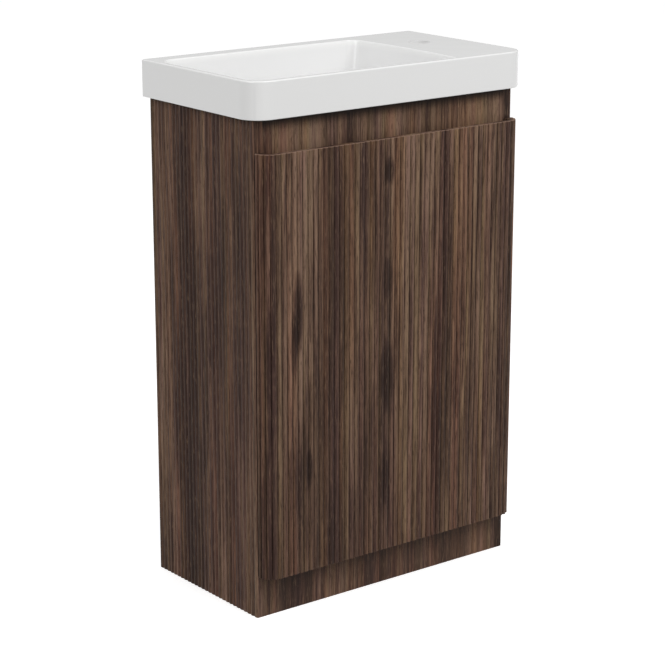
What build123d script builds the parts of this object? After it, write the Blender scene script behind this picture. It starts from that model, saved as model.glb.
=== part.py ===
from build123d import *
import os
from math import cos, pi, sin

# A floor-standing vanity unit: reeded walnut carcass and door, cast white basin on top.
# Millimetres. The origin is under the middle of the unit, on the floor.
# +X is to the right seen from the front, +Y is to the wall, +Z is up.

os.makedirs("parts", exist_ok=True)

# Whole unit
overall_height = 850.0
carcass_width = 515.0
carcass_depth = 277.0
board = 18.0
joint_fit = 0.05          # radial room round a dowel, peg, screw or cup in its hole

# Reeds: rounded ribs that run upright on the door and on the outside of both sides
reed_pitch = 10.0
side_reed_depth = 2.0
side_reeds = 28
door_reed_depth = 2.8

# Basin
basin_width = 543.0
basin_overhang = 21.0     # in front of the carcass
basin_skirt = 58.5
basin_corner = 36.0       # front corners, in plan
basin_back_corner = 4.0
basin_edge = 2.5
rim_side = 11.0
rim_front = 11.5
rim_back = 30.0
bowl_right = 128.5        # end of the bowl, where the tap deck starts, right of the middle
bowl_bulge = 6.0          # how far that end bows out in plan
bowl_depth = 95.0
bowl_wall = 9.0
bowl_floor = 12.0
bowl_front_corner = 42.0
bowl_back_corner = 18.0
bowl_left_corner = 27.0
bowl_floor_round = 24.0
slope_left = 0.53         # run in per millimetre of depth
slope_front = 0.64
slope_right = 0.15
slope_back = 0.10
deck_thickness = 15.0
deck_recess_wall = 9.0
tap_x = 195.5
tap_y = 33.5
tap_hole_radius = 17.5
waste_hole_radius = 23.0
waste_seat_radius = 33.0
waste_seat_depth = 3.0

# Carcass boards
top_rail_height = 80.0
plinth_height = 75.0
back_rail_height = 100.0
dowel_radius = 4.0
dowel_length = 30.0
dowel_in_side = 11.5      # how much of a dowel is in the side panel
dowel_inset = 18.0        # from a board's edges
dowel_end_room = 0.5

# Shelf
shelf_height = 430.0
shelf_depth = 185.0
shelf_setback = 22.0
shelf_side_room = 0.75
peg_radius = 2.5
peg_length = 16.0
peg_in_side = 8.5
peg_inset = 37.0          # from the shelf's front and back edges

# Wall brackets
bracket_drop = 151.5      # middle of a bracket below the top of the carcass
bracket_leg = 35.0
bracket_width = 26.0
bracket_sheet = 2.0
wall_hole_radius = 2.75
wall_hole_inset = 21.0    # from the side panel's inner face
screw_radius = 1.9
screw_head_radius = 3.4
screw_head = 1.6
screw_depth = 11.0

# Door
door_side_room = 0.5      # door set in from the carcass's sides
door_thickness = 26.0
door_gap = 2.0            # between the back of the door and the carcass
door_plinth_lap = 6.0     # how far the door hangs in front of the plinth
door_reveal = 51.0        # rail left in sight above the door
finger_lip = 10.5         # thickness left at the front of the finger pull
finger_depth = 24.0
finger_cove = 11.0
finger_end = 15.0         # solid door left at each end of the finger pull
bumper_radius = 4.0
bumper_room = 0.3
bumper_inset = 30.0

# Concealed hinges, on the right
hinge_inset = 100.0       # hinge centres from the door's ends
cup_radius = 17.5
cup_edge = 6.0            # solid door left between its edge and the cup
cup_depth = 12.5
cup_cavity_depth = 11.2
cup_wall = 1.2
cup_cavity_half = 7.5     # half the upright width of the cavity
cup_notch = 2.0           # the cup's wall is lower here, where the links leave it
flange_sheet = 1.2
flange_round = 19.0
flange_ear_width = 14.0
flange_ear_height = 58.0
flange_ear_corner = 4.0
cup_screw_spread = 22.5   # half the standard 45 mm
cup_screw_offset = 9.5
cup_screw_length = 9.0
pin_radius = 1.5
pin_room = 0.05
link_room = 0.2           # room between neighbouring plates on one pin
inner_link_half = 2.2
outer_link_sheet = 1.6
arm_sheet = 1.6
link_width = 2.4
eye_radius = 2.6
arm_eye_radius = 3.0
link_bend = 5.0
outer_pivot_inset = 18.0  # arm pins, from the side panel's inner face
outer_pivot_depth = 9.5   # behind the carcass front
inner_pivot_inset = 17.7
inner_pivot_reach = 9.4   # ahead of the carcass front, inside the cup
outer_cup_inset = 11.6    # cup pins, from the door's edge
outer_cup_depth = 2.8     # below the door's back face
inner_cup_inset = 16.2
inner_cup_depth = 7.1
link_elbow_inset = 7.4    # elbow of the outer link, left of its cup pin
stub_pin_end = 10.4
cup_pin_end = 12.4
plate_setback = 37.0      # plate screws behind the carcass front
plate_screw_spread = 16.0 # half the standard 32 mm
plate_wing = 2.5
plate_wing_width = 24.0
plate_wing_height = 48.0
plate_body = 8.0
plate_body_half = 3.9
plate_body_length = 42.0
arm_back_room = 2.0
arm_web_inset = 23.5      # outside of the arm's web, from the side panel's inner face

# Places worked out from the sizes above
side_x = carcass_width / 2
inner_x = side_x - board
back_y = (carcass_depth + door_gap + door_thickness) / 2
front_y = back_y - carcass_depth
front_board_y = front_y + board / 2
back_board_y = back_y - board / 2
carcass_top = overall_height - basin_skirt
basin_depth = carcass_depth + basin_overhang
basin_front_y = back_y - basin_depth
door_width = carcass_width - 2 * door_side_room
door_x = door_width / 2
door_back_y = front_y - door_gap
door_front_y = door_back_y - door_thickness
door_low = plinth_height - door_plinth_lap
door_high = carcass_top - door_reveal
bracket_height = carcass_top - bracket_drop
base_low = plinth_height
base_high = base_low + board
shelf_front_y = front_y + shelf_setback
shelf_back_y = shelf_front_y + shelf_depth
hinge_heights = (door_low + hinge_inset, door_high - hinge_inset)


def save(piece, label):
    """Name a finished piece and write it to its own file."""
    piece.part.label = label
    export_step(piece.part, f"parts/{label}.step")


def rod(start, direction, radius, length, mode=Mode.ADD):
    """A round bar, or with Mode.SUBTRACT a hole, from a point along a direction."""
    with Locations(Plane(origin=start, z_dir=direction)):
        Cylinder(radius, length, align=(Align.CENTER, Align.CENTER, Align.MIN), mode=mode)


def block(low, high, mode=Mode.ADD):
    """A square-edged board or cut between its lowest and its highest corner."""
    size = Vector(high) - Vector(low)
    with Locations(low):
        Box(size.X, size.Y, size.Z, align=(Align.MIN, Align.MIN, Align.MIN), mode=mode)


# Dowels stand at the same places in both sides: (y, z) of each
dowel_places = [
    (board_y, level)
    for board_y, low, high in (
        (front_board_y, carcass_top - top_rail_height, carcass_top),
        (front_board_y, 0, plinth_height),
        (back_board_y, carcass_top - back_rail_height, carcass_top),
        (back_board_y, 0, plinth_height),
    )
    for level in (low + dowel_inset, high - dowel_inset)
]
dowel_places += [
    (level_y, base_low + board / 2)
    for level_y in (front_y + 2 * dowel_inset, back_y - 2 * dowel_inset)
]
dowel_hole_radius = dowel_radius + joint_fit
dowel_in_board = dowel_length - dowel_in_side

peg_places = [
    (peg_y, shelf_height - peg_radius)
    for peg_y in (shelf_front_y + peg_inset, shelf_back_y - peg_inset)
]

bracket_screw_y = back_y - bracket_leg / 2
plate_y = front_y + plate_setback
plate_screw_heights = [
    centre + side * plate_screw_spread for centre in hinge_heights for side in (-1, 1)
]


# Side panels: plain inside, reeded outside, drilled for dowels, pegs and screws
for side_name, side in (("left", -1), ("right", 1)):
    reed_step = Vector(0, carcass_depth / side_reeds)
    reed_out = Vector(side * side_reed_depth, 0)
    groove_x = side * (side_x - side_reed_depth)
    with BuildPart() as side_panel:
        with BuildSketch():
            with BuildLine():
                for reed in range(side_reeds):
                    foot = Vector(groove_x, front_y) + reed_step * reed
                    ThreePointArc(foot, foot + reed_step / 2 + reed_out, foot + reed_step)
                Polyline(
                    (groove_x, back_y),
                    (side * inner_x, back_y),
                    (side * inner_x, front_y),
                    (groove_x, front_y),
                )
            make_face()
        extrude(amount=carcass_top)
        inner_face = Plane(origin=(side * inner_x, 0, 0), x_dir=(0, 1, 0), z_dir=(side, 0, 0))
        with BuildSketch(inner_face):
            with Locations([(y, side * z) for y, z in dowel_places]):
                Circle(dowel_hole_radius)
        extrude(amount=dowel_in_side + dowel_end_room, mode=Mode.SUBTRACT)
        with BuildSketch(inner_face):
            with Locations([(y, side * z) for y, z in peg_places]):
                Circle(peg_radius + joint_fit)
        extrude(amount=peg_in_side + dowel_end_room, mode=Mode.SUBTRACT)
        screw_places = [(bracket_screw_y, bracket_height)]
        if side > 0:
            screw_places += [(plate_y, level) for level in plate_screw_heights]
        with BuildSketch(inner_face):
            with Locations([(y, side * z) for y, z in screw_places]):
                Circle(screw_radius + joint_fit)
        extrude(amount=screw_depth + dowel_end_room, mode=Mode.SUBTRACT)
    save(side_panel, f"side_panel_{side_name}")


def drill_board_ends(places):
    """Dowel holes in both ends of a board that spans between the sides."""
    for side in (-1, 1):
        for y, z in places:
            rod(
                (side * inner_x, y, z),
                (-side, 0, 0),
                dowel_hole_radius,
                dowel_in_board + dowel_end_room,
                Mode.SUBTRACT,
            )


# Boards between the sides
cross_boards = {
    "top_rail": (front_y, front_y + board, carcass_top - top_rail_height, carcass_top),
    "plinth": (front_y, front_y + board, 0, plinth_height),
    "base_panel": (front_y, back_y, base_low, base_high),
    "back_rail_top": (back_y - board, back_y, carcass_top - back_rail_height, carcass_top),
    "back_rail_bottom": (back_y - board, back_y, 0, plinth_height),
}
for label, (y_low, y_high, z_low, z_high) in cross_boards.items():
    own_dowels = [
        (y, z) for y, z in dowel_places if y_low < y < y_high and z_low < z < z_high
    ]
    with BuildPart() as cross_board:
        block((-inner_x, y_low, z_low), (inner_x, y_high, z_high))
        drill_board_ends(own_dowels)
    save(cross_board, label)

with BuildPart() as dowels:
    for side in (-1, 1):
        for y, z in dowel_places:
            rod(
                (side * (inner_x + dowel_in_side), y, z),
                (-side, 0, 0),
                dowel_radius,
                dowel_length,
            )
save(dowels, "dowels")


# Loose shelf on four pegs
with BuildPart() as shelf:
    shelf_x = inner_x - shelf_side_room
    block((-shelf_x, shelf_front_y, shelf_height), (shelf_x, shelf_back_y, shelf_height + board))
save(shelf, "shelf")

with BuildPart() as shelf_pegs:
    for side in (-1, 1):
        for y, z in peg_places:
            rod((side * (inner_x + peg_in_side), y, z), (-side, 0, 0), peg_radius, peg_length)
save(shelf_pegs, "shelf_pegs")


# Steel angles that hold the carcass to the wall, with their screws
with BuildPart() as wall_brackets:
    for side in (-1, 1):
        with BuildSketch(Plane.XY.offset(bracket_height - bracket_width / 2)):
            with BuildLine():
                Polyline(
                    (side * inner_x, back_y),
                    (side * inner_x, back_y - bracket_leg),
                    (side * (inner_x - bracket_sheet), back_y - bracket_leg),
                    (side * (inner_x - bracket_sheet), back_y - bracket_sheet),
                    (side * (inner_x - bracket_leg), back_y - bracket_sheet),
                    (side * (inner_x - bracket_leg), back_y),
                    close=True,
                )
            make_face()
        extrude(amount=bracket_width)
        rod(
            (side * (inner_x - wall_hole_inset), back_y, bracket_height),
            (0, -1, 0),
            wall_hole_radius,
            bracket_sheet,
            Mode.SUBTRACT,
        )
        rod(
            (side * inner_x, bracket_screw_y, bracket_height),
            (-side, 0, 0),
            screw_radius + joint_fit,
            bracket_sheet,
            Mode.SUBTRACT,
        )
save(wall_brackets, "wall_brackets")


def screw(seat, direction, length):
    """A round-headed screw: seat is the middle of the face under the head."""
    seat, direction = Vector(seat), Vector(direction)
    rod(seat, direction, screw_radius, length)
    rod(seat, direction * -1, screw_head_radius, screw_head)


with BuildPart() as bracket_screws:
    for side in (-1, 1):
        screw(
            (side * (inner_x - bracket_sheet), bracket_screw_y, bracket_height),
            (side, 0, 0),
            bracket_sheet + screw_depth,
        )
save(bracket_screws, "bracket_screws")


# Basin. The bowl narrows with depth, more at the left and front, where it has to pass
# between the side panel and behind the top rail.
def bowl_section(level, grow):
    """The bowl's outline at a level, grown outwards by a wall thickness."""
    depth = overall_height - level
    left = -basin_width / 2 + rim_side + slope_left * depth - grow
    front = basin_front_y + rim_front + slope_front * depth - grow
    right = bowl_right - slope_right * depth + grow
    back = back_y - rim_back - slope_back * depth + grow
    middle_y = (front + back) / 2
    with BuildSketch(Plane.XY.offset(level)) as outline:
        with BuildLine():
            Polyline((right, front), (left, front), (left, back), (right, back))
            ThreePointArc((right, back), (right + bowl_bulge, middle_y), (right, front))
        make_face()
        corners = outline.vertices()
        left_corners = corners.group_by(Axis.X)[0]
        right_corners = corners.group_by(Axis.X)[-1]
        fillet(left_corners, bowl_left_corner + grow)
        fillet(right_corners.sort_by(Axis.Y)[0], bowl_front_corner + grow)
        fillet(
            outline.vertices().group_by(Axis.Y)[-1].sort_by(Axis.X)[-1],
            bowl_back_corner + grow,
        )
    return outline.sketch


bowl_low = overall_height - bowl_depth
bowl_middle_x = (
    -basin_width / 2 + rim_side + bowl_right + (slope_left - slope_right) * bowl_depth
) / 2
bowl_middle_y = (
    basin_front_y + rim_front + back_y - rim_back + (slope_front - slope_back) * bowl_depth
) / 2

with BuildPart() as bowl_void:
    loft([bowl_section(overall_height, 0), bowl_section(bowl_low, 0)])
    fillet(bowl_void.faces().sort_by(Axis.Z)[0].edges(), bowl_floor_round)

with BuildPart() as bowl_shell:
    loft([bowl_section(carcass_top, bowl_wall), bowl_section(bowl_low - bowl_floor, bowl_wall)])
    fillet(bowl_shell.faces().sort_by(Axis.Z)[0].edges(), bowl_floor_round)

with BuildPart() as basin:
    with BuildSketch(Plane.XY.offset(carcass_top)) as skirt_outline:
        with Locations((0, basin_front_y + basin_depth / 2)):
            Rectangle(basin_width, basin_depth)
        fillet(skirt_outline.vertices().group_by(Axis.Y)[0], basin_corner)
        fillet(skirt_outline.vertices().group_by(Axis.Y)[-1], basin_back_corner)
    extrude(amount=basin_skirt)
    fillet(basin.faces().sort_by(Axis.Z)[-1].edges(), basin_edge)
    fillet(basin.faces().sort_by(Axis.Z)[0].edges(), basin_edge / 2)
    add(bowl_shell.part)
    add(bowl_void.part, mode=Mode.SUBTRACT)
    # The rounded lip of the bowl
    rim_face = basin.faces().sort_by(Axis.Z)[-1]
    fillet(rim_face.inner_wires()[0].edges(), basin_edge)
    # The deck is hollow underneath, inside the carcass
    block(
        (bowl_right + bowl_bulge + bowl_wall, front_y + board + deck_recess_wall, carcass_top),
        (inner_x - deck_recess_wall, back_y - board - deck_recess_wall, overall_height - deck_thickness),
        Mode.SUBTRACT,
    )
    rod((tap_x, tap_y, overall_height), (0, 0, -1), tap_hole_radius, deck_thickness, Mode.SUBTRACT)
    rod(
        (bowl_middle_x, bowl_middle_y, bowl_low),
        (0, 0, -1),
        waste_seat_radius,
        waste_seat_depth,
        Mode.SUBTRACT,
    )
    rod(
        (bowl_middle_x, bowl_middle_y, bowl_low),
        (0, 0, -1),
        waste_hole_radius,
        bowl_floor,
        Mode.SUBTRACT,
    )
save(basin, "basin")


# Door. Reeds keep one pitch along the front and on round both upright edges.
door_corner = door_thickness
flat_half = door_x - door_corner
outline_half = flat_half + door_corner * pi / 2


def door_front_point(along, proud):
    """A point of the door's front, a distance along it from the middle, proud of the grooves."""
    side = 1 if along > 0 else -1
    past_flat = abs(along) - flat_half
    if past_flat <= 0:
        return Vector(along, door_front_y + door_reed_depth - proud)
    turn = past_flat / door_corner
    radius = door_corner - door_reed_depth + proud
    return Vector(side * (flat_half + radius * sin(turn)), door_back_y - radius * cos(turn))


whole_reeds_half = int(outline_half / reed_pitch - 0.5)
grooves = [(index - 0.5) * reed_pitch for index in range(-whole_reeds_half, whole_reeds_half + 2)]
grooves = [-outline_half] + grooves + [outline_half]

cup_x = door_x - cup_edge - cup_radius
cup_screw_x = cup_x - cup_screw_offset


def on_door_back(x, z, lift=0.0):
    """A plane on the back of the door, facing into the door, lifted off it if wanted."""
    return Plane(origin=(x, door_back_y + lift, z), x_dir=(1, 0, 0), z_dir=(0, -1, 0))


with BuildPart() as door_panel:
    with BuildSketch(Plane.XY.offset(door_low)):
        with BuildLine():
            for start, end in zip(grooves, grooves[1:]):
                crest = door_front_point((start + end) / 2, door_reed_depth)
                ThreePointArc(door_front_point(start, 0), crest, door_front_point(end, 0))
            Line(door_front_point(outline_half, 0), door_front_point(-outline_half, 0))
        make_face()
    extrude(amount=door_high - door_low)
    # Finger pull along the back of the top edge
    finger_x = door_x - finger_end
    pull_front = door_front_y + finger_lip
    pull_floor = door_high - finger_depth
    with BuildSketch(Plane(origin=(-finger_x, 0, 0), x_dir=(0, 1, 0), z_dir=(1, 0, 0))) as pull:
        with Locations((pull_front, pull_floor)):
            Rectangle(door_thickness, finger_depth + reed_pitch, align=(Align.MIN, Align.MIN))
        cove_corner = pull.vertices().sort_by_distance((-finger_x, pull_front, pull_floor))[0]
        fillet(cove_corner, finger_cove)
    extrude(amount=2 * finger_x, mode=Mode.SUBTRACT)
    # Cup bores and their screw holes
    for level in hinge_heights:
        with BuildSketch(on_door_back(cup_x, level)):
            Circle(cup_radius)
        extrude(amount=cup_depth + joint_fit, mode=Mode.SUBTRACT)
        for spread in (-cup_screw_spread, cup_screw_spread):
            rod(
                (cup_screw_x, door_back_y, level + spread),
                (0, -1, 0),
                screw_radius + joint_fit,
                cup_screw_length + dowel_end_room,
                Mode.SUBTRACT,
            )
save(door_panel, "door_panel")

with BuildPart() as door_bumpers:
    for level in (door_low + bumper_inset, door_high - bumper_inset):
        rod(
            (board / 2 - side_x, door_back_y, level),
            (0, 1, 0),
            bumper_radius,
            door_gap - bumper_room,
        )
save(door_bumpers, "door_bumpers")


# Hinges. All four pins of a hinge are upright; the two links turn between arm and cup.
outer_arm_pin = Vector(inner_x - outer_pivot_inset, front_y + outer_pivot_depth)
inner_arm_pin = Vector(inner_x - inner_pivot_inset, front_y - inner_pivot_reach)
outer_cup_pin = Vector(door_x - outer_cup_inset, door_back_y - outer_cup_depth)
inner_cup_pin = Vector(door_x - inner_cup_inset, door_back_y - inner_cup_depth)
outer_link_low = inner_link_half + link_room
outer_link_high = outer_link_low + outer_link_sheet
arm_low = outer_link_high + link_room
arm_half = arm_low + arm_sheet
pin_hole_radius = pin_radius + pin_room
plate_top_x = inner_x - plate_wing
arm_web_x = inner_x - arm_web_inset
arm_back_y = plate_y + plate_body_length / 2 + arm_back_room


def upright_pin(place, low, high, mode=Mode.ADD):
    """A pin, or with Mode.SUBTRACT the hole for it, between two levels at a place in plan."""
    radius = pin_radius if mode == Mode.ADD else pin_hole_radius
    rod((place.X, place.Y, low), (0, 0, 1), radius, high - low, mode)


with BuildPart() as hinge_plates:
    for level in hinge_heights:
        block(
            (plate_top_x, plate_y - plate_wing_width / 2, level - plate_wing_height / 2),
            (inner_x, plate_y + plate_wing_width / 2, level + plate_wing_height / 2),
        )
        block(
            (inner_x - plate_body, plate_y - plate_body_length / 2, level - plate_body_half),
            (inner_x, plate_y + plate_body_length / 2, level + plate_body_half),
        )
        for spread in (-plate_screw_spread, plate_screw_spread):
            rod(
                (plate_top_x, plate_y, level + spread),
                (1, 0, 0),
                screw_radius + joint_fit,
                plate_wing,
                Mode.SUBTRACT,
            )
        rod(
            (inner_x - plate_body, plate_y, level),
            (1, 0, 0),
            screw_radius + joint_fit,
            plate_body,
            Mode.SUBTRACT,
        )
save(hinge_plates, "hinge_plates")

with BuildPart() as plate_screws:
    for level in plate_screw_heights:
        screw((plate_top_x, plate_y, level), (1, 0, 0), plate_wing + screw_depth)
save(plate_screws, "plate_screws")

with BuildPart() as arm_screws:
    for level in hinge_heights:
        screw((arm_web_x, plate_y, level), (1, 0, 0), arm_web_inset - plate_body + plate_wing)
save(arm_screws, "arm_screws")

# Arm: a channel over the plate, whose two cheeks run on into the cup
with BuildPart() as hinge_arms:
    for level in hinge_heights:
        with BuildSketch(Plane.XY.offset(level - arm_half)):
            Polygon(
                (arm_web_x, arm_back_y),
                (plate_top_x, arm_back_y),
                (plate_top_x, plate_y - plate_wing_width / 2),
                (outer_arm_pin.X + 2 * arm_eye_radius, outer_arm_pin.Y + arm_eye_radius),
                (inner_arm_pin.X + arm_eye_radius, inner_arm_pin.Y),
                (inner_arm_pin.X - arm_eye_radius, inner_arm_pin.Y),
                (outer_arm_pin.X - arm_eye_radius, outer_arm_pin.Y),
                (arm_web_x, outer_arm_pin.Y + 2 * arm_eye_radius),
                align=None,
            )
            with Locations(inner_arm_pin):
                Circle(arm_eye_radius)
        extrude(amount=2 * arm_half)
        # Room for the plate and the links between the cheeks, behind the web
        block(
            (arm_web_x + arm_sheet, outer_arm_pin.Y - plate_body_length, level - arm_low),
            (inner_x, arm_back_y, level + arm_low),
            Mode.SUBTRACT,
        )
        # The web stops behind the pins
        block(
            (arm_web_x, outer_arm_pin.Y - plate_body_length, level - arm_low),
            (inner_x, outer_arm_pin.Y + arm_eye_radius + outer_link_sheet, level + arm_low),
            Mode.SUBTRACT,
        )
        rod(
            (arm_web_x, plate_y, level),
            (1, 0, 0),
            screw_radius + joint_fit,
            arm_sheet,
            Mode.SUBTRACT,
        )
        for pin in (outer_arm_pin, inner_arm_pin):
            upright_pin(pin, level - arm_half, level + arm_half, Mode.SUBTRACT)
save(hinge_arms, "hinge_arms")

with BuildPart() as arm_pins:
    for level in hinge_heights:
        for pin in (outer_arm_pin, inner_arm_pin):
            upright_pin(pin, level - arm_half, level + arm_half)
save(arm_pins, "arm_pins")

# Outer link: two bent plates, joined by a bridge near the arm
link_elbow = outer_cup_pin - Vector(link_elbow_inset, 0)
bridge_middle = outer_arm_pin + (link_elbow - outer_arm_pin) * 0.3
with BuildPart() as outer_links:
    for level in hinge_heights:
        for low in (level - outer_link_high, level + outer_link_low):
            with BuildSketch(Plane.XY.offset(low)):
                with BuildLine():
                    FilletPolyline(outer_arm_pin, link_elbow, outer_cup_pin, radius=link_bend)
                trace(line_width=link_width)
                with Locations(outer_arm_pin, outer_cup_pin):
                    Circle(eye_radius)
                    Circle(pin_hole_radius, mode=Mode.SUBTRACT)
            extrude(amount=outer_link_sheet)
        with BuildSketch(Plane.XY.offset(level - outer_link_low)):
            with Locations(bridge_middle):
                Circle(link_width / 2)
        extrude(amount=2 * outer_link_low)
save(outer_links, "outer_links")

# Inner link: one thick plate; its cup end is the open pivot of the linkage
with BuildPart() as inner_links:
    for level in hinge_heights:
        with BuildSketch(Plane.XY.offset(level - inner_link_half)):
            with BuildLine():
                Line(inner_arm_pin, inner_cup_pin)
            trace(line_width=link_width)
            with Locations(inner_arm_pin):
                Circle(eye_radius)
                Circle(pin_hole_radius, mode=Mode.SUBTRACT)
        extrude(amount=2 * inner_link_half)
save(inner_links, "inner_links")

with BuildPart() as hinge_cups:
    for level in hinge_heights:
        with BuildSketch(on_door_back(cup_x, level)):
            Circle(cup_radius - joint_fit)
        extrude(amount=cup_depth)
        with BuildSketch(on_door_back(cup_x, level)):
            Circle(flange_round)
            with Locations((-cup_screw_offset, 0)):
                RectangleRounded(flange_ear_width, flange_ear_height, flange_ear_corner)
        extrude(amount=-flange_sheet)
        with BuildSketch(on_door_back(cup_x, level, flange_sheet)):
            Circle(cup_radius - cup_wall)
            Rectangle(2 * cup_radius, 2 * cup_cavity_half, mode=Mode.INTERSECT)
        extrude(amount=flange_sheet + cup_cavity_depth, mode=Mode.SUBTRACT)
        block(
            (cup_x, door_back_y - cup_notch, level - cup_cavity_half),
            (door_x, door_back_y + flange_sheet, level + cup_cavity_half),
            Mode.SUBTRACT,
        )
        for spread in (-cup_screw_spread, cup_screw_spread):
            rod(
                (cup_screw_x, door_back_y + flange_sheet, level + spread),
                (0, -1, 0),
                screw_radius + joint_fit,
                flange_sheet,
                Mode.SUBTRACT,
            )
        upright_pin(outer_cup_pin, level - stub_pin_end, level + stub_pin_end, Mode.SUBTRACT)
        upright_pin(inner_cup_pin, level - cup_pin_end, level + cup_pin_end, Mode.SUBTRACT)
save(hinge_cups, "hinge_cups")

# The outer link turns on two stub pins, so that the inner link can pass between them
with BuildPart() as cup_pins:
    for level in hinge_heights:
        upright_pin(outer_cup_pin, level + outer_link_low, level + stub_pin_end)
        upright_pin(outer_cup_pin, level - stub_pin_end, level - outer_link_low)
        upright_pin(inner_cup_pin, level + outer_link_low, level + cup_pin_end)
        upright_pin(inner_cup_pin, level - cup_pin_end, level - outer_link_low)
save(cup_pins, "cup_pins")

with BuildPart() as cup_screws:
    for level in hinge_heights:
        for spread in (-cup_screw_spread, cup_screw_spread):
            seat = (cup_screw_x, door_back_y + flange_sheet, level + spread)
            rod(seat, (0, -1, 0), screw_radius, flange_sheet + cup_screw_length)
save(cup_screws, "cup_screws")
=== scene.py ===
# Looks of a slim walnut vanity unit with a white basin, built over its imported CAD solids
import math
from typing import NamedTuple

import bmesh
import bpy
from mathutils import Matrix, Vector


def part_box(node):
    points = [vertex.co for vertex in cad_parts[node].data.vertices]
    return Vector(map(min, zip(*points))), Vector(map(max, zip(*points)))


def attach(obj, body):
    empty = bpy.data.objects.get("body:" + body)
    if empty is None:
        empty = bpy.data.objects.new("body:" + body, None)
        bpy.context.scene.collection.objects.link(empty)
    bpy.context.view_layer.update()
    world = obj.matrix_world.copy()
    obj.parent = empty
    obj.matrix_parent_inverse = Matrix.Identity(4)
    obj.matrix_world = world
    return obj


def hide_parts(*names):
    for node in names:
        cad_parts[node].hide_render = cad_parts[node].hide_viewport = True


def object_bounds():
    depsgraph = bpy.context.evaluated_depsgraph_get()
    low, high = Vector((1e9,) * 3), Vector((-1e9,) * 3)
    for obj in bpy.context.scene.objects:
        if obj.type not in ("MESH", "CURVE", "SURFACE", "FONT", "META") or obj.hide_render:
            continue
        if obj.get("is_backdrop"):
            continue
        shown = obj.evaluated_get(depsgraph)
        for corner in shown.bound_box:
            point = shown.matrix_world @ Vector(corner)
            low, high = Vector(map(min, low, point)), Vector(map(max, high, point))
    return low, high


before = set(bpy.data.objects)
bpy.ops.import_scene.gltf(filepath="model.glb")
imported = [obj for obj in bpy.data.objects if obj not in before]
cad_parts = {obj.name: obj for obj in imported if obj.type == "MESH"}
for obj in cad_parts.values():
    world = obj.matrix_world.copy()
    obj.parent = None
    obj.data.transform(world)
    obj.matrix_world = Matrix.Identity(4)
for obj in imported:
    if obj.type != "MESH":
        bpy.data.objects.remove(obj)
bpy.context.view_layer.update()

bl_info = {
    "name": "Vanity unit with basin",
    "version": (1, 0, 0),
    "blender": (4, 5, 0),
    "location": "3D View > Sidebar > Vanity",
    "description": "Finishes a walnut vanity unit, its basin, door hinges and studio",
    "category": "Object",
}

# Places and sizes, in metres, read from the solids where they can be
DOOR_LOW, DOOR_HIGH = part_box("door_panel")
_, SIDE_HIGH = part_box("side_panel_right")
BASIN_LOW, BASIN_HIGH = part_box("basin")
SIDE_REED_DEPTH = 0.002
DOOR_REED_DEPTH = 0.0028
DOOR_CORNER = 0.026
EASED_EDGE = 0.0004
MERGE_GAP = 1e-6

# Painted shade inside the bowl is full this far below the rim and behind the skirt's face
RIM_EDGE = 0.012
SKIRT_WALL = 0.012

# Edges that turn by more than these angles stay crisp, or are eased
SHARP_ANGLE = math.radians(32.0)
EASED_ANGLE = math.radians(60.0)

# Every noise varies about this value
MIDDLE = 0.5

# The grain's sideways wander in metres
WANDER = 0.018

# How fast each layer of the grain changes along it, against across it
BAND_DRAW = 0.10
STREAK_DRAW = 0.035
THREAD_DRAW = 0.020
PORE_DRAW = 0.07

# How much the layers weigh in the foil's tone
STREAK_WEIGHT = 0.85
THREAD_WEIGHT = 1.3
DARK_PORES = 0.62
PALE_PORES = 0.4

# Streaks of the foil that lean to red or grey, and finer ones that lean to olive or plum:
# how many there are to a metre, then the two tints
LEANINGS = (
    (42.0, (1.10, 0.87, 0.80), (0.88, 0.87, 1.04)),
    (75.0, (0.97, 1.05, 0.84), (1.02, 0.90, 1.04)),
)
LEANING_SHARE = 0.52

# Painted light in the reeds' grooves: how many times brighter it makes the foil there, against their shade
GROOVE_LIGHT_GAIN = (2.3, 2.25, 2.2, 1.0)

# Painted highlight along the reeds' upper edge: its height in metres, and how much of the highlight colour
# covers it
EDGE_HIGHLIGHT_HEIGHT = 0.0009
EDGE_HIGHLIGHT_SHARE = 0.8

# How bright shadow is against the dark streaks, how much of it covers the foil in a corner,
# and how much of that the light on the door's ledge takes away
SHADOW_TONE = 0.3
SHADOW_SHARE = 0.95
LEDGE_LIGHT = 0.8

WHITE = (1.0, 1.0, 1.0, 1.0)

# Sockets of the Mix node when it mixes colours
MIX_FACTOR, MIX_FIRST, MIX_SECOND = 0, 6, 7
MIX_RESULT = 2


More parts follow.
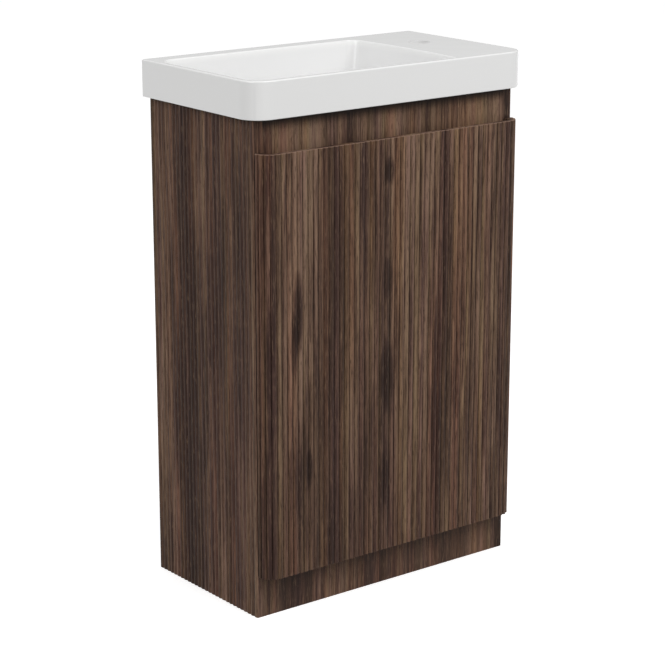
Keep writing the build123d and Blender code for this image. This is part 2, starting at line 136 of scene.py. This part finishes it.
class WalnutLook(bpy.types.PropertyGroup):
    """Colours and grain of the walnut foil."""

    dark: bpy.props.FloatVectorProperty(
        name="Dark streak", description="Colour of the darkest grain lines", subtype="COLOR",
        size=3, min=0, max=1, default=(0.0235, 0.0118, 0.0082),
    )
    plum: bpy.props.FloatVectorProperty(
        name="Plum band", description="Cool brown of the dark bands", subtype="COLOR",
        size=3, min=0, max=1, default=(0.057, 0.0318, 0.0228),
    )
    brown: bpy.props.FloatVectorProperty(
        name="Walnut brown", description="Middle brown of most of the foil", subtype="COLOR",
        size=3, min=0, max=1, default=(0.128, 0.0735, 0.0480),
    )
    tan: bpy.props.FloatVectorProperty(
        name="Tan streak", description="Colour of the palest grain lines", subtype="COLOR",
        size=3, min=0, max=1, default=(0.262, 0.166, 0.107),
    )
    # Painted highlight: colour of the pale line along the reeds' upper edge
    edge_highlight: bpy.props.FloatVectorProperty(
        name="Rubbed edge", description="Colour of the foil's worn upper edges", subtype="COLOR",
        size=3, min=0, max=1, default=(0.30, 0.195, 0.145),
    )
    band_width: bpy.props.FloatProperty(
        name="Band width", description="Typical width of a broad colour band", subtype="DISTANCE",
        unit="LENGTH", min=0.01, max=0.3, default=0.055,
    )
    streak_width: bpy.props.FloatProperty(
        name="Streak width", description="Typical width of a grain streak", subtype="DISTANCE",
        unit="LENGTH", min=0.001, max=0.05, default=0.0075,
    )
    gloss_roughness: bpy.props.FloatProperty(
        name="Roughness", description="Roughness of the matt foil", subtype="FACTOR",
        min=0, max=1, default=0.58,
    )
    # Painted light in the reeds' grooves: how much it lifts their shade
    groove_painted_light: bpy.props.FloatProperty(
        name="Groove paleness", description="How much paler the foil is where the grooves stretch it",
        subtype="FACTOR", min=0, max=1, default=0.32,
    )
    # Painted shade: how far from a neighbour the foil is darkened in corners
    corner_reach: bpy.props.FloatProperty(
        name="Corner reach", description="How far from a neighbour the foil reads darker",
        subtype="DISTANCE", unit="LENGTH", min=0.001, max=0.2, default=0.070,
    )


class CeramicLook(bpy.types.PropertyGroup):
    """Glaze of the basin."""

    glaze: bpy.props.FloatVectorProperty(
        name="Glaze", description="Colour of the white glaze", subtype="COLOR",
        size=3, min=0, max=1, default=(0.86, 0.86, 0.857),
    )
    # Painted shade: the darker colour the glaze is given inside the bowl
    bowl: bpy.props.FloatVectorProperty(
        name="Bowl", description="Colour of the glaze inside the bowl", subtype="COLOR",
        size=3, min=0, max=1, default=(0.79, 0.79, 0.788),
    )
    roughness: bpy.props.FloatProperty(
        name="Roughness", description="Roughness of the glaze", subtype="FACTOR",
        min=0, max=1, default=0.2,
    )


class MetalLook(bpy.types.PropertyGroup):
    """Plated steel of the hinges and the wall angles."""

    nickel: bpy.props.FloatVectorProperty(
        name="Nickel", description="Colour of the nickel plate", subtype="COLOR",
        size=3, min=0, max=1, default=(0.62, 0.60, 0.56),
    )
    zinc: bpy.props.FloatVectorProperty(
        name="Zinc", description="Colour of the zinc plate", subtype="COLOR",
        size=3, min=0, max=1, default=(0.55, 0.57, 0.60),
    )


class SmallPartsLook(bpy.types.PropertyGroup):
    """Beech dowels and the soft pads behind the door."""

    beech: bpy.props.FloatVectorProperty(
        name="Beech", description="Colour of the bare dowels", subtype="COLOR",
        size=3, min=0, max=1, default=(0.55, 0.38, 0.22),
    )
    pad: bpy.props.FloatVectorProperty(
        name="Soft pad", description="Colour of the clear soft pads", subtype="COLOR",
        size=3, min=0, max=1, default=(0.66, 0.66, 0.63),
    )


class StageLook(bpy.types.PropertyGroup):
    """Studio round the vanity unit."""

    floor_size: bpy.props.FloatProperty(
        name="Floor size", description="Side of the pale floor", subtype="DISTANCE",
        unit="LENGTH", min=2, max=100, default=40,
    )
    floor_tone: bpy.props.FloatVectorProperty(
        name="Floor", description="Colour of the pale floor", subtype="COLOR",
        size=3, min=0, max=1, default=(0.93, 0.93, 0.93),
    )
    floor_glow: bpy.props.FloatProperty(
        name="Floor glow", description="Light that the floor gives back as in a white cove",
        min=0, max=2, default=0.53,
    )
    sky_strength: bpy.props.FloatProperty(
        name="Dome light", description="Strength of the even light from above", min=0, max=5, default=0.54,
    )
    low_strength: bpy.props.FloatProperty(
        name="Low light", description="Strength of the even light from below the horizon",
        min=0, max=5, default=0.22,
    )
    lens: bpy.props.FloatProperty(
        name="Lens", description="Focal length of the camera", subtype="DISTANCE_CAMERA",
        unit="CAMERA", min=10, max=400, default=117.1,
    )
    camera_place: bpy.props.FloatVectorProperty(
        name="Camera", description="Place of the camera", subtype="TRANSLATION",
        unit="LENGTH", size=3, default=(-2.0965, -2.6870, 1.3467),
    )
    camera_turn: bpy.props.FloatProperty(
        name="Camera turn", description="Angle of the view from straight ahead", subtype="ANGLE",
        unit="ROTATION", default=0.6599,
    )
    camera_tilt: bpy.props.FloatProperty(
        name="Camera tilt", description="Angle of the view below the horizon", subtype="ANGLE",
        unit="ROTATION", default=0.2724,
    )


LOOKS = {
    "vanity_walnut": WalnutLook,
    "vanity_ceramic": CeramicLook,
    "vanity_metal": MetalLook,
    "vanity_small": SmallPartsLook,
    "vanity_stage": StageLook,
}


class Tone:
    """One socket of a node tree, which takes part in Python expressions."""

    def __init__(self, nodes, socket):
        self.nodes = nodes
        self.socket = socket

    def maths(self, operation, first, second=None):
        inputs = {place: value for place, value in enumerate((first, second)) if value is not None}
        return self.nodes.add("ShaderNodeMath", {"operation": operation}, inputs)

    def __add__(self, other):
        return self.maths("ADD", self, other)

    def __radd__(self, other):
        return self.maths("ADD", other, self)

    def __sub__(self, other):
        return self.maths("SUBTRACT", self, other)

    def __rsub__(self, other):
        return self.maths("SUBTRACT", other, self)

    def __mul__(self, other):
        return self.maths("MULTIPLY", self, other)

    def __rmul__(self, other):
        return self.maths("MULTIPLY", other, self)

    def __truediv__(self, other):
        return self.maths("DIVIDE", self, other)

    def __rtruediv__(self, other):
        return self.maths("DIVIDE", other, self)

    def __pow__(self, other):
        return self.maths("POWER", self, other)

    def __rpow__(self, other):
        return self.maths("POWER", other, self)

    def __abs__(self):
        return self.maths("ABSOLUTE", self)

    def at_least(self, other):
        return self.maths("MAXIMUM", self, other)

    def smooth(self, start, end):
        """0 below start, 1 above end, with a soft change between them."""
        inputs = {"Value": self, "From Min": start, "From Max": end}
        return self.nodes.add("ShaderNodeMapRange", {"interpolation_type": "SMOOTHSTEP"}, inputs)


class Nodes:
    """A node tree under construction."""

    def __init__(self, tree):
        self.tree = tree

    def add(self, kind, settings, inputs, output=0):
        """Makes a node, sets it up, feeds its sockets and returns the wanted output as a Tone."""
        node = self.tree.nodes.new(kind)
        for setting, value in settings.items():
            if setting == "stops":
                set_stops(node.color_ramp.elements, value)
            else:
                setattr(node, setting, value)
        for place, value in inputs.items():
            self.feed(node.inputs[place], value)
        return Tone(self, node.outputs[output])

    def feed(self, socket, value):
        """Links a Tone to a socket, or sets the socket to a constant."""
        if isinstance(value, Tone):
            self.tree.links.new(value.socket, socket)
        else:
            socket.default_value = value

    def axes(self, vector):
        """The x, y and z of a vector."""
        first = self.add("ShaderNodeSeparateXYZ", {}, {0: vector})
        return [Tone(self, socket) for socket in first.socket.node.outputs]


class Finish(Nodes):
    """A material under construction: one principled shader and the nodes that feed it."""

    def __init__(self, name):
        self.material = bpy.data.materials.new(name)
        self.material.use_nodes = True
        super().__init__(self.material.node_tree)
        self.shader = self.tree.nodes["Principled BSDF"]

    def place(self):
        """Object coordinates, which are metres in the shared frame."""
        return self.add("ShaderNodeTexCoord", {}, {}, "Object")

    def vector(self, x, y, z):
        return self.add("ShaderNodeCombineXYZ", {}, {"X": x, "Y": y, "Z": z})

    def noise(self, vector, scale, detail=2.0, roughness=0.5):
        inputs = {"Vector": vector, "Scale": scale, "Detail": detail, "Roughness": roughness}
        return self.add("ShaderNodeTexNoise", {}, inputs)

    def mix(self, factor, first, second, blend="MIX"):
        """Mixes two colours."""
        settings = {"data_type": "RGBA", "blend_type": blend}
        inputs = {MIX_FACTOR: factor, MIX_FIRST: first, MIX_SECOND: second}
        return self.add("ShaderNodeMix", settings, inputs, MIX_RESULT)

    def openness(self, reach):
        """1 in the open, less where other surfaces stand closer than reach."""
        return self.add("ShaderNodeAmbientOcclusion", {"samples": 6}, {"Distance": reach}, "AO")

    def bump(self, height, distance):
        return self.add("ShaderNodeBump", {}, {"Height": height, "Distance": distance, "Strength": 1.0})

    def set(self, **values):
        """Sets or links the shader's sockets, named with underscores for spaces."""
        for name, value in values.items():
            self.feed(self.shader.inputs[name.replace("_", " ")], value)


def set_stops(elements, stops):
    """Gives a colour ramp its (place, colour) stops."""
    while len(elements) < len(stops):
        elements.new(MIDDLE)
    for element, (place, colour) in zip(elements, stops):
        element.position = place
        element.color = opaque(colour)


def opaque(colour):
    """A colour of three numbers as the four that a socket takes."""
    return (*colour, 1.0)


def dimmed(colour, share):
    """A colour with only a share of its light."""
    return opaque(tuple(channel * share for channel in colour))


def groove_of_door(x, y):
    """A place's depth below the crests of the door's reeds, 1 at the grooves, and the door's top."""
    flat_half = DOOR_HIGH.x - DOOR_CORNER
    turn_y = DOOR_LOW.y + DOOR_CORNER
    aside = (abs(x) - flat_half).at_least(0.0)
    ahead = (turn_y - y).at_least(0.0)
    depth = DOOR_CORNER - (aside * aside + ahead * ahead) ** 0.5
    return depth / DOOR_REED_DEPTH, DOOR_HIGH.z


def groove_of_side(x, y):
    """A place's depth below the crests of the sides' reeds, 1 at the grooves, and the sides' top."""
    return (SIDE_HIGH.x - abs(x)) / SIDE_REED_DEPTH, SIDE_HIGH.z


class Flame(NamedTuple):
    """A long dark patch in the foil, or a pale one where its force is negative: most are figures in the
    grain, some are painted shade, and some painted light.

    Its middle is measured along its axis and its height from the floor.
    """

    axis: str
    middle: float
    height: float
    half_width: float
    half_height: float
    force: float


class Grain:
    """The layers of walnut grain, from broad bands to fine pores, each a noise about MIDDLE."""

    def __init__(self, finish, look, seed, level):
        self.x, self.y, self.height = finish.axes(finish.place())
        start, self.along = (self.height, self.x) if level else (self.x, self.height)
        # The grain wanders slowly sideways as it climbs
        slow = finish.vector(start * 4.0 + seed, self.y * 4.0, self.along * 1.6)
        wander = finish.noise(slow, scale=1.0) - MIDDLE
        self.across = start + wander * WANDER
        self.deep = self.y + wander * WANDER
        self.bands = finish.noise(
            finish.vector(self.across + seed, self.deep, self.along * BAND_DRAW),
            scale=0.7 / look.band_width, detail=2.0, roughness=0.55,
        )
        self.streaks = finish.noise(
            finish.vector(self.across, self.deep + seed, self.along * STREAK_DRAW),
            scale=0.6 / look.streak_width, detail=3.0, roughness=0.6,
        )
        self.threads = finish.noise(
            finish.vector(self.across, self.deep, self.along * THREAD_DRAW + seed),
            scale=2.0 / look.streak_width, detail=3.0, roughness=0.7,
        )
        self.pores = finish.noise(
            finish.vector(self.across, self.deep, self.along * PORE_DRAW),
            scale=5.5 / look.streak_width, detail=2.0, roughness=0.6,
        )

    def inside(self, flame):
        """1 in the heart of a flame, 0 outside its ragged edge."""
        sideways = {"x": self.across, "y": self.deep}[flame.axis]
        beside = (sideways - flame.middle) / flame.half_width
        above = (self.along - flame.height) / flame.half_height
        oval = 1.0 - (beside * beside + above * above)
        ragged = oval + (self.streaks - MIDDLE) * 1.6 + (self.threads - MIDDLE) * 1.2
        return ragged.smooth(0.0, 1.1)


def walnut(name, seed, groove=None, flames=(), lift=0.0, banding=1.5, level=False, overhang=0.0):
    """Walnut foil with upright grain, or on a level board with grain from side to side.

    Groove is the function that gives the depth below the reeds' crests.
    Lift makes the whole foil paler, and banding sets how much its broad bands differ.
    Overhang is how far down from its top the basin keeps the light off the foil.
    """
    look = bpy.context.scene.vanity_walnut
    finish = Finish(name)
    grain = Grain(finish, look, seed, level)
    coarse = (grain.bands - MIDDLE) * banding + (grain.streaks - MIDDLE) * STREAK_WEIGHT
    shade = coarse + (grain.threads - MIDDLE) * THREAD_WEIGHT + (MIDDLE + lift)
    for flame in flames:
        shade = shade - grain.inside(flame) * flame.force
    stops = ((0.10, look.dark), (0.34, look.plum), (0.56, look.brown), (0.86, look.tan))
    colour = finish.add("ShaderNodeValToRGB", {"stops": stops}, {0: shade})
    colour = lean(finish, grain, seed, colour)
    colour = finish.mix(grain.pores.smooth(0.53, 0.68) * DARK_PORES, colour, opaque(look.dark))
    colour = finish.mix((1.0 - grain.pores).smooth(0.56, 0.70) * PALE_PORES, colour, opaque(look.tan))
    if groove is not None:
        colour = paint_reed_light(finish, look, grain, groove, colour)
    colour = darken(finish, look, grain, overhang, colour)
    finish.set(
        Base_Color=colour,
        Roughness=look.gloss_roughness + (grain.threads - MIDDLE) * 0.14,
        Normal=finish.bump(grain.threads + grain.pores * 0.5, 0.00012),
        Specular_IOR_Level=0.14,
    )
    return finish.material


def lean(finish, grain, seed, colour):
    """Tints narrow streaks of the foil, each noise one way where it is high and the other where low."""
    for spacing, warmer, cooler in LEANINGS:
        narrow = finish.vector(grain.across * spacing, grain.deep * spacing, grain.along * 0.9 + seed)
        side = finish.noise(narrow, scale=1.0)
        colour = finish.mix(side.smooth(0.48, 0.66) * LEANING_SHARE, colour, opaque(warmer), "MULTIPLY")
        other_side = (1.0 - side).smooth(0.48, 0.66)
        colour = finish.mix(other_side * LEANING_SHARE, colour, opaque(cooler), "MULTIPLY")
    return colour


def paint_reed_light(finish, look, grain, groove, colour):
    """Brightens the reeds' grooves with painted light against their shade, and paints a highlight along
    their upper edge.
    """
    depth, top = groove(grain.x, grain.y)
    on_reeds = 1.0 - depth.smooth(1.05, 1.35)
    # Painted light, strongest at the bottom of the grooves, where the reeds shade the foil
    groove_light = depth.smooth(0.30, 1.0) * on_reeds * look.groove_painted_light
    colour = finish.mix(groove_light, colour, GROOVE_LIGHT_GAIN, "MULTIPLY")
    # Painted highlight, a pale line along the reeds' upper edge
    at_top = grain.height.smooth(top - EDGE_HIGHLIGHT_HEIGHT, top - 0.0002)
    return finish.mix(at_top * on_reeds * EDGE_HIGHLIGHT_SHARE, colour, opaque(look.edge_highlight))


def darken(finish, look, grain, overhang, colour):
    """Darkens the foil where light hardly reaches it, in corners and under the basin."""
    height = grain.height
    closed = (1.0 - finish.openness(look.corner_reach)).smooth(0.32, 0.46)
    # The pale floor lights the foot of the unit, and the sky the ledge on top of the door
    off_floor = height.smooth(0.012, 0.050)
    ledge = DOOR_HIGH.z
    up_to_ledge = height.smooth(ledge - 0.016, ledge - 0.006)
    over_ledge = up_to_ledge * (1.0 - height.smooth(ledge + 0.012, ledge + 0.028))
    closed = closed * off_floor * (1.0 - over_ledge * LEDGE_LIGHT)
    shadow = dimmed(look.dark, SHADOW_TONE)
    colour = finish.mix(closed * SHADOW_SHARE, colour, shadow)
    if overhang:
        under_basin = height.smooth(SIDE_HIGH.z - overhang, SIDE_HIGH.z - 0.001)
        colour = finish.mix(under_basin * SHADOW_SHARE, colour, shadow)
    return colour


def ceramic(name):
    """White glaze, very slightly uneven as a fired basin is, with painted shade that makes it less bright
    inside the bowl.
    """
    look = bpy.context.scene.vanity_ceramic
    finish = Finish(name)
    place = finish.place()
    cloud = finish.noise(place, scale=5.0)
    ripple = finish.noise(place, scale=28.0, detail=1.0)
    x, y, z = finish.axes(place)
    below_rim = (BASIN_HIGH.z - z).smooth(0.001, RIM_EDGE)
    behind_front = (y - BASIN_LOW.y).smooth(SKIRT_WALL - 0.004, SKIRT_WALL)
    behind_side = (x - BASIN_LOW.x).smooth(SKIRT_WALL - 0.004, SKIRT_WALL)
    cream = tuple(channel * scale for channel, scale in zip(look.glaze, (0.985, 0.983, 0.975)))
    glaze = finish.mix(cloud, opaque(look.glaze), opaque(cream))
    finish.set(
        # Painted shade inside the bowl
        Base_Color=finish.mix(below_rim * (behind_front * behind_side), glaze, opaque(look.bowl)),
        Roughness=look.roughness + (ripple - MIDDLE) * 0.05,
        Normal=finish.bump(ripple, 0.00006),
        Coat_Weight=0.35,
        Coat_Roughness=0.08,
    )
    return finish.material


def nickel(name):
    """Nickel plate with a faint satin drawn along the metal."""
    look = bpy.context.scene.vanity_metal
    finish = Finish(name)
    x, y, z = finish.axes(finish.place())
    drawn = finish.noise(finish.vector(x * 0.12, y, z), scale=2600.0)
    cloud = finish.noise(finish.vector(x, y, z), scale=90.0)
    finish.set(
        Base_Color=finish.mix(cloud, dimmed(look.nickel, 0.82), opaque(look.nickel)),
        Roughness=0.22 + drawn * 0.14,
        Normal=finish.bump(drawn, 0.00001),
        Metallic=1.0,
    )
    return finish.material


def zinc(name):
    """Zinc plate with a faint crystal pattern."""
    look = bpy.context.scene.vanity_metal
    finish = Finish(name)
    inputs = {"Vector": finish.place(), "Scale": 260.0}
    crystals = finish.add("ShaderNodeTexVoronoi", {"feature": "F1"}, inputs, "Color")
    facet, _, _ = finish.axes(crystals)
    finish.set(
        Base_Color=finish.mix(facet, dimmed(look.zinc, 0.78), opaque(look.zinc)),
        Roughness=0.34 + facet * 0.16,
        Metallic=1.0,
    )
    return finish.material


def beech(name):
    """Bare beech with short dark flecks."""
    look = bpy.context.scene.vanity_small
    finish = Finish(name)
    x, y, z = finish.axes(finish.place())
    fleck = finish.noise(finish.vector(x * 0.2, y, z), scale=900.0)
    finish.set(
        Base_Color=finish.mix(fleck, dimmed(look.beech, 0.72), opaque(look.beech)),
        Roughness=0.6 + fleck * 0.1,
    )
    return finish.material


def soft_pad(name):
    """Soft clear plastic, slightly cloudy."""
    look = bpy.context.scene.vanity_small
    finish = Finish(name)
    cloud = finish.noise(finish.place(), scale=400.0)
    finish.set(
        Base_Color=finish.mix(cloud, dimmed(look.pad, 0.86), opaque(look.pad)),
        Roughness=0.3 + cloud * 0.15,
    )
    return finish.material


def smooth_copy(node, piece_name):
    """A merged copy of a solid's mesh with smooth curved faces and crisp edges."""
    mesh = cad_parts[node].data.copy()
    mesh.name = piece_name
    mesh.materials.clear()
    shape = bmesh.new()
    shape.from_mesh(mesh)
    bmesh.ops.remove_doubles(shape, verts=shape.verts, dist=MERGE_GAP)
    for face in shape.faces:
        face.smooth = True
    for edge in shape.edges:
        edge.smooth = edge.is_manifold and edge.calc_face_angle(0.0) < SHARP_ANGLE
    shape.to_mesh(mesh)
    shape.free()
    piece = bpy.data.objects.new(piece_name, mesh)
    bpy.context.scene.collection.objects.link(piece)
    return piece


def finish_piece(node, piece_name, body, material, edge_radius=0.0):
    """Puts a smooth, finished copy in place of a CAD node."""
    piece = smooth_copy(node, piece_name)
    piece.data.materials.append(material)
    if edge_radius:
        eased = piece.modifiers.new("eased_edges", "BEVEL")
        eased.width = edge_radius
        eased.segments = 2
        eased.limit_method = "ANGLE"
        eased.angle_limit = EASED_ANGLE
        eased.harden_normals = False
    even = piece.modifiers.new("even_shading", "WEIGHTED_NORMAL")
    even.keep_sharp = True
    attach(piece, body)
    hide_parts(node)
    return piece


class VANITY_OT_basin(bpy.types.Operator):
    """Glazes the basin"""

    bl_idname = "vanity.basin"
    bl_label = "Basin"

    def execute(self, context):
        finish_piece("basin", "glazed_basin", "carcass", ceramic("white_glaze"))
        return {"FINISHED"}


class VANITY_OT_sides(bpy.types.Operator):
    """Finishes the two reeded side panels"""

    bl_idname = "vanity.sides"
    bl_label = "Reeded sides"

    def execute(self, context):
        flames = (
            # The first darkens the right side's front edge
            Flame("x", 0.2470, height=0.40, half_width=0.0095, half_height=3.0, force=0.22),
            Flame("y", 0.0620, height=0.40, half_width=0.0330, half_height=1.6, force=0.14),
            Flame("y", -0.0700, height=0.40, half_width=0.0160, half_height=1.6, force=0.08),
            Flame("y", -0.0150, height=0.20, half_width=0.0200, half_height=0.3, force=-0.07),
        )
        foil = walnut("walnut_reeded_sides", 3.7, groove_of_side, flames, lift=-0.085, banding=1.05)
        finish_piece("side_panel_left", "reeded_side_left", "carcass", foil)
        finish_piece("side_panel_right", "reeded_side_right", "carcass", foil)
        return {"FINISHED"}


class VANITY_OT_rails(bpy.types.Operator):
    """Finishes the rail above the door and the plinth below it"""

    bl_idname = "vanity.rails"
    bl_label = "Rail and plinth"

    def execute(self, context):
        # Painted shade: the plinth, under the door, is darker than the rail, most near the floor
        flames = (Flame("x", 0.0, height=0.010, half_width=1.500, half_height=0.160, force=0.20),)
        foil = walnut("walnut_plain_front", 8.1, flames=flames, lift=0.18, banding=1.2, overhang=0.024)
        finish_piece("top_rail", "front_rail", "carcass", foil, edge_radius=EASED_EDGE)
        finish_piece("plinth", "front_plinth", "carcass", foil, edge_radius=EASED_EDGE)
        return {"FINISHED"}


class VANITY_OT_inside(bpy.types.Operator):
    """Finishes the boards, the shelf and the dowels inside the cabinet"""

    bl_idname = "vanity.inside"
    bl_label = "Inside of the cabinet"

    def execute(self, context):
        upright = walnut("walnut_inside_upright", 14.3)
        level = walnut("walnut_inside_level", 5.2, level=True)
        for node, piece_name, foil in (
            ("base_panel", "cabinet_base", level),
            ("back_rail_top", "upper_back_rail", upright),
            ("back_rail_bottom", "lower_back_rail", upright),
            ("shelf", "loose_shelf", level),
        ):
            finish_piece(node, piece_name, "carcass", foil, edge_radius=EASED_EDGE)
        finish_piece("dowels", "beech_dowels", "carcass", beech("bare_beech"))
        finish_piece("shelf_pegs", "steel_shelf_pegs", "carcass", nickel("peg_nickel"))
        return {"FINISHED"}


class VANITY_OT_door(bpy.types.Operator):
    """Finishes the reeded door and its soft pads"""

    bl_idname = "vanity.door"
    bl_label = "Door"

    def execute(self, context):
        dark_bands_and_edge_shade = (
            # The first is painted shade on the door's rounded left edge, the others are dark bands in the
            # grain
            Flame("x", -0.2460, height=0.420, half_width=0.014, half_height=1.600, force=0.20),
            Flame("x", -0.1290, height=0.420, half_width=0.034, half_height=1.600, force=0.22),
            Flame("x", 0.0930, height=0.420, half_width=0.010, half_height=1.800, force=0.16),
        )
        pale_bands_and_top_light = (
            # Pale bands in the grain, most set high on the door, where they are also painted light that
            # makes its upper part paler
            Flame("x", -0.1950, height=0.640, half_width=0.050, half_height=0.420, force=-0.20),
            Flame("x", 0.0440, height=0.620, half_width=0.055, half_height=0.480, force=-0.20),
            Flame("x", 0.1340, height=0.640, half_width=0.040, half_height=0.420, force=-0.22),
            Flame("x", 0.1950, height=0.500, half_width=0.040, half_height=0.800, force=-0.07),
        )
        left_knots = (
            Flame("x", -0.1960, height=0.490, half_width=0.010, half_height=0.075, force=0.56),
            Flame("x", -0.2030, height=0.440, half_width=0.009, half_height=0.055, force=0.40),
            Flame("x", -0.1730, height=0.240, half_width=0.008, half_height=0.040, force=0.50),
        )
        middle_knots = (
            Flame("x", -0.0200, height=0.690, half_width=0.013, half_height=0.026, force=0.42),
            Flame("x", -0.0200, height=0.520, half_width=0.013, half_height=0.045, force=0.32),
            Flame("x", -0.0200, height=0.360, half_width=0.017, half_height=0.075, force=0.46),
            Flame("x", -0.0220, height=0.190, half_width=0.013, half_height=0.060, force=0.30),
        )
        flames = dark_bands_and_edge_shade + pale_bands_and_top_light + left_knots + middle_knots
        foil = walnut("walnut_reeded_door", 0.9, groove_of_door, flames, banding=0.9)
        finish_piece("door_panel", "reeded_door", "door", foil)
        finish_piece("door_bumpers", "soft_door_pads", "door", soft_pad("clear_pad"))
        return {"FINISHED"}


class VANITY_OT_hinges(bpy.types.Operator):
    """Finishes the two concealed hinges"""

    bl_idname = "vanity.hinges"
    bl_label = "Concealed hinges"

    def execute(self, context):
        plate = nickel("hinge_nickel")
        for body, nodes in (
            ("carcass", ("hinge_plates", "plate_screws", "hinge_arms", "arm_screws", "arm_pins")),
            ("outer_links", ("outer_links",)),
            ("inner_links", ("inner_links",)),
            ("door", ("hinge_cups", "cup_pins", "cup_screws")),
        ):
            for node in nodes:
                finish_piece(node, "nickel_" + node, body, plate)
        return {"FINISHED"}


class VANITY_OT_brackets(bpy.types.Operator):
    """Finishes the wall angles and their screws"""

    bl_idname = "vanity.brackets"
    bl_label = "Wall angles"

    def execute(self, context):
        plate = zinc("zinc_plate")
        finish_piece("wall_brackets", "zinc_wall_angles", "carcass", plate)
        finish_piece("bracket_screws", "zinc_bracket_screws", "carcass", plate)
        return {"FINISHED"}


class VANITY_OT_stage(bpy.types.Operator):
    """Builds the floor, the soft lights and the camera"""

    bl_idname = "vanity.stage"
    bl_label = "Studio"

    def execute(self, context):
        look = context.scene.vanity_stage
        make_floor(look)
        light_dome(look)
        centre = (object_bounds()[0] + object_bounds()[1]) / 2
        soft_light("front_light", (0.75, -2.3, 2.6), centre, size=1.8, power=48.0)
        soft_light("left_light", (-3.1, -0.9, 2.3), centre, size=1.8, power=36.0)
        back_light = soft_light("back_light", (-1.2, 3.2, 2.4), centre, size=2.4, power=22.0)
        # Its reflection would only be a glare on the tap deck
        back_light.visible_glossy = False
        make_camera(look)
        context.scene.view_settings.view_transform = "Standard"
        return {"FINISHED"}


def make_floor(look):
    """A wide pale floor that shades like a white cove."""
    mesh = bpy.data.meshes.new("studio_floor")
    shape = bmesh.new()
    bmesh.ops.create_grid(shape, x_segments=1, y_segments=1, size=look.floor_size / 2)
    shape.to_mesh(mesh)
    shape.free()
    floor = bpy.data.objects.new("studio_floor", mesh)
    bpy.context.scene.collection.objects.link(floor)
    finish = Finish("pale_floor")
    finish.set(
        Base_Color=opaque(look.floor_tone), Roughness=0.9,
        Emission_Color=opaque(look.floor_tone), Emission_Strength=look.floor_glow,
    )
    floor.data.materials.append(finish.material)
    # The dome's low half lights the unit from below instead, so its undersides aren't washed out
    floor.visible_diffuse = False
    floor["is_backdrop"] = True


def light_dome(look):
    """Even white light from all round, weaker from below the horizon."""
    world = bpy.data.worlds.new("studio_dome")
    world.use_nodes = True
    dome = Nodes(world.node_tree)
    _, _, rise = dome.axes(dome.add("ShaderNodeTexCoord", {}, {}, "Generated"))
    horizon = {
        "Value": rise, "From Min": -0.08, "From Max": 0.08,
        "To Min": look.low_strength, "To Max": look.sky_strength,
    }
    background = dome.tree.nodes["Background"]
    dome.feed(background.inputs["Strength"], dome.add("ShaderNodeMapRange", {}, horizon))
    dome.feed(background.inputs["Color"], WHITE)
    bpy.context.scene.world = world


def soft_light(name, place, target, size, power):
    """A large square lamp aimed at the unit."""
    lamp = bpy.data.lights.new(name, "AREA")
    lamp.shape = "SQUARE"
    lamp.size = size
    lamp.energy = power
    light = bpy.data.objects.new(name, lamp)
    light.location = place
    light.rotation_euler = (Vector(target) - Vector(place)).to_track_quat("-Z", "Y").to_euler()
    bpy.context.scene.collection.objects.link(light)
    return light


def make_camera(look):
    """The camera at the photograph's angle."""
    camera = bpy.data.objects.new("studio_camera", bpy.data.cameras.new("studio_camera"))
    camera.data.lens = look.lens
    camera.data.sensor_width = 36.0
    camera.location = look.camera_place
    camera.rotation_euler = (math.pi / 2 - look.camera_tilt, 0.0, -look.camera_turn)
    camera.data.clip_end = 200.0
    bpy.context.scene.collection.objects.link(camera)
    bpy.context.scene.camera = camera


class VANITY_PT_pieces(bpy.types.Panel):
    """Lists the steps that finish the vanity unit"""

    bl_idname = "VANITY_PT_pieces"
    bl_label = "Vanity unit"
    bl_space_type = "VIEW_3D"
    bl_region_type = "UI"
    bl_category = "Vanity"

    def draw(self, context):
        for step in STEPS:
            self.layout.operator(step.bl_idname)
        for look_name, look in LOOKS.items():
            box = self.layout.box()
            for setting in look.__annotations__:
                box.prop(getattr(context.scene, look_name), setting)


STEPS = (
    VANITY_OT_basin,
    VANITY_OT_sides,
    VANITY_OT_rails,
    VANITY_OT_inside,
    VANITY_OT_door,
    VANITY_OT_hinges,
    VANITY_OT_brackets,
    VANITY_OT_stage,
)


def register():
    for part in (*LOOKS.values(), *STEPS, VANITY_PT_pieces):
        bpy.utils.register_class(part)
    for name, look in LOOKS.items():
        setattr(bpy.types.Scene, name, bpy.props.PointerProperty(type=look))


def unregister():
    for name in LOOKS:
        delattr(bpy.types.Scene, name)
    for part in (VANITY_PT_pieces, *reversed(STEPS), *reversed(tuple(LOOKS.values()))):
        bpy.utils.unregister_class(part)


def main():
    register()
    bpy.ops.vanity.basin()
    bpy.ops.vanity.sides()
    bpy.ops.vanity.rails()
    bpy.ops.vanity.inside()
    bpy.ops.vanity.door()
    bpy.ops.vanity.hinges()
    bpy.ops.vanity.brackets()
    bpy.ops.vanity.stage()


if __name__ == "__main__":
    main()
